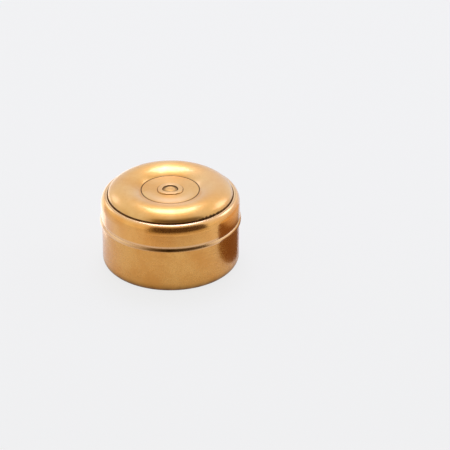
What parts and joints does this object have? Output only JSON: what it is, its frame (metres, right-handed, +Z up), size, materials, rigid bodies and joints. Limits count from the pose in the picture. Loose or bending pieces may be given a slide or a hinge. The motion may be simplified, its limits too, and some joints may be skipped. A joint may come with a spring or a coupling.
{
  "type": "storage jar",
  "caption": "Round squat brass storage jar of soldered sheet: straight body with a turned-in foot, and a slip-on lid with beaded mouth, ring-shaped crown and riveted boss.",
  "frame": {"origin": "centre of the foot, on the surface that the jar stands on", "axes": "+Z up along the jar's axis; the soldered seams face +Y, so -Y is the front"},
  "size_m": [0.11, 0.11, 0.0656],
  "materials": {
    "body_brass": "hand polished, fine upright and round-going scratches, light patina",
    "lid_brass": "hand polished, light patina, dirt in the corners",
    "crown_brass": "polished on the lathe, fine round-going lines",
    "base_brass": "dull sheet, not polished",
    "braze": "dull brazing metal, filed flush where it shows"
  },
  "bodies": {
    "jar": {"body_wall": "body_brass", "wall_seam": "braze", "base_disc": "base_brass", "base_solder": "braze"},
    "lid": {"lid_skirt": "lid_brass", "skirt_seam": "braze", "rim_bead": "lid_brass", "lid_crown": "crown_brass", "crown_solder": "braze", "boss_washer": "crown_brass", "boss_rivet": "crown_brass", "rivet_burr": "base_brass"}
  },
  "joints": [
    {"name": "lid_lift", "type": "slide", "parent": "jar", "child": "lid", "axis": [0, 0, 1], "range_m": [0, 0.06]}
  ]
}
